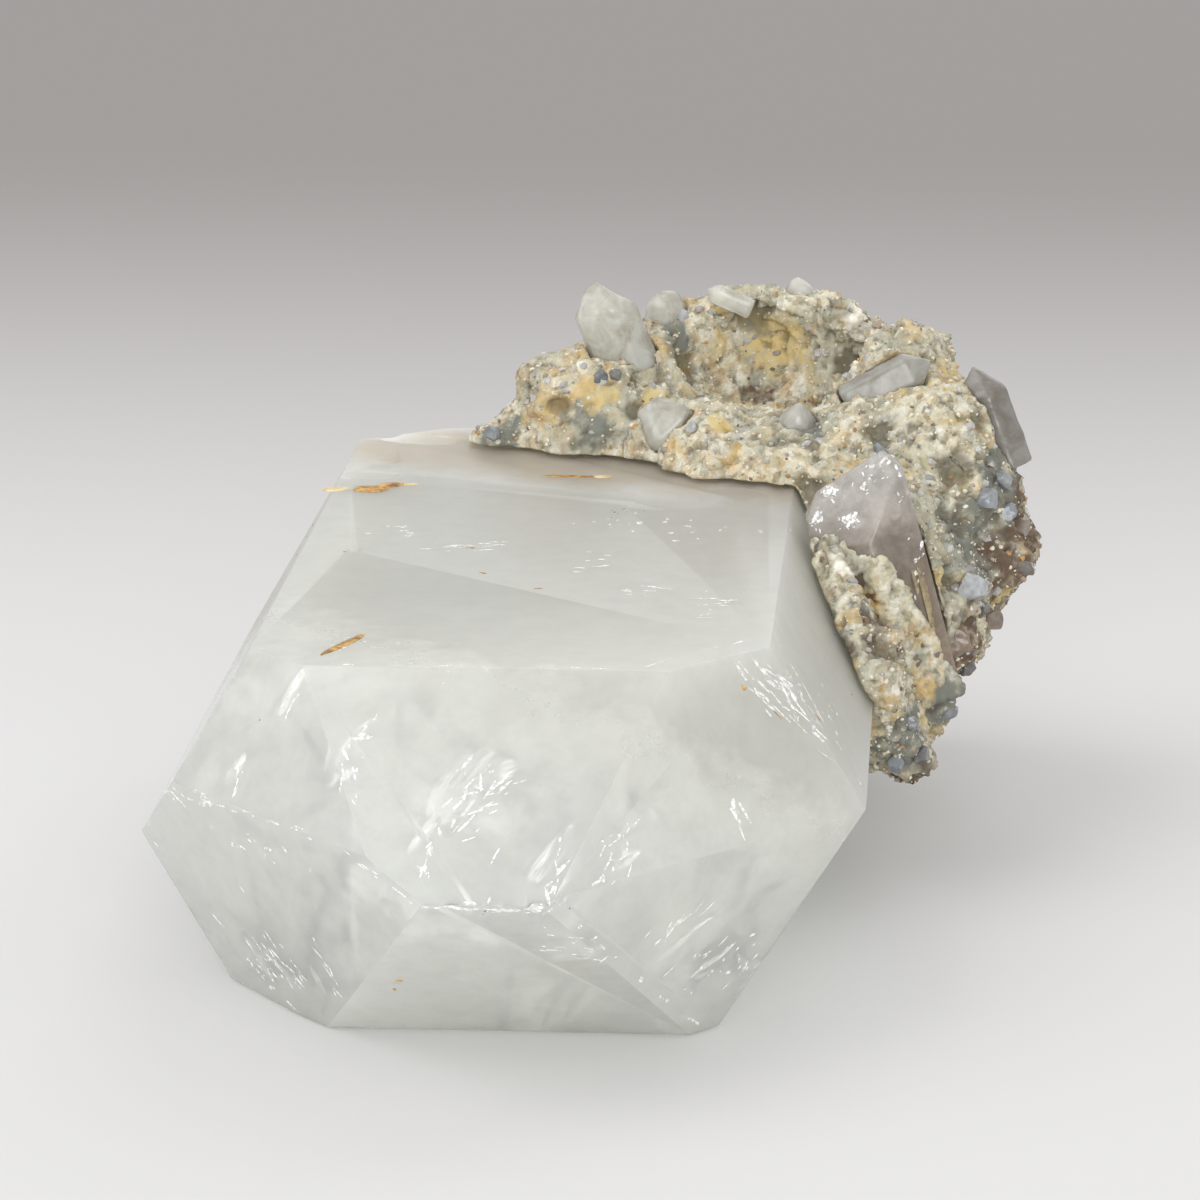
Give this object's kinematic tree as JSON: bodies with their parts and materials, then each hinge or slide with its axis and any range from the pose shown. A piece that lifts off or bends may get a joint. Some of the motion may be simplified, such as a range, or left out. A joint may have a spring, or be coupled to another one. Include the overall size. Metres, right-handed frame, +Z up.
{
  "type": "quartz crystal specimen",
  "caption": "Large clear six-sided quartz crystal lying on one face, its broken end wrapped in porous rock that carries smaller quartz crystals.",
  "frame": {"origin": "middle of the base of the whole specimen's bounding box, on the surface it lies on", "axes": "+Y along the large crystal from its point to its broken end, +Z up, +X towards the side that carries the rock"},
  "size_m": [0.0954, 0.1482, 0.0596],
  "materials": {
    "clear_quartz": "polished",
    "milky_quartz": "satin",
    "matrix_rock": "matte"
  },
  "bodies": {
    "root": {"main_crystal": "clear_quartz", "side_crystal": "clear_quartz", "matrix": "matrix_rock", "small_crystal_back_left": "milky_quartz", "small_crystal_back_block": "milky_quartz", "small_crystal_blade": "milky_quartz", "small_crystal_top": "milky_quartz", "small_crystal_front_wedge": "milky_quartz", "small_crystal_front_nub": "milky_quartz", "small_crystal_lying": "milky_quartz", "small_crystal_right_edge": "milky_quartz"}
  },
  "joints": []
}
